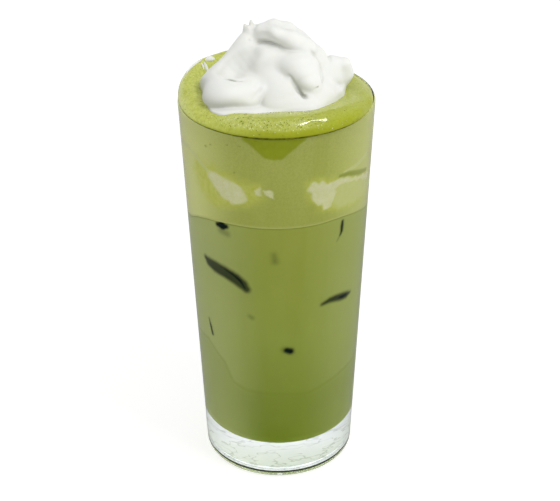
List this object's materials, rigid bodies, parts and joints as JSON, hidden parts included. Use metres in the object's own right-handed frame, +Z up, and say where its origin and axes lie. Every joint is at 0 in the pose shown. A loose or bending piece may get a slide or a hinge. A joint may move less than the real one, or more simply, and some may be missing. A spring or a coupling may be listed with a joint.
{
  "type": "matcha latte",
  "caption": "Iced green tea latte in a tall tapered clear tumbler, brim full, with a thick pale green foam layer and a folded dollop of whipped cream on top.",
  "frame": {"origin": "middle of the glass's foot, on the surface it stands on", "axes": "+Z up along the glass's own axis, -Y towards the front, where the folds of the cream face, +X to the right"},
  "size_m": [0.078, 0.078, 0.1962],
  "materials": {
    "glass": "clear, smooth and glossy",
    "latte": "opaque milky green liquid",
    "foam": "wet pale green foam with fine bubbles",
    "cream": "soft white whipped cream, satin",
    "ice": "clear melting ice that looks dark inside the milky drink"
  },
  "bodies": {
    "root": {"glass": "glass", "latte": "latte", "foam": "foam", "cream": "cream"}
  },
  "joints": []
}
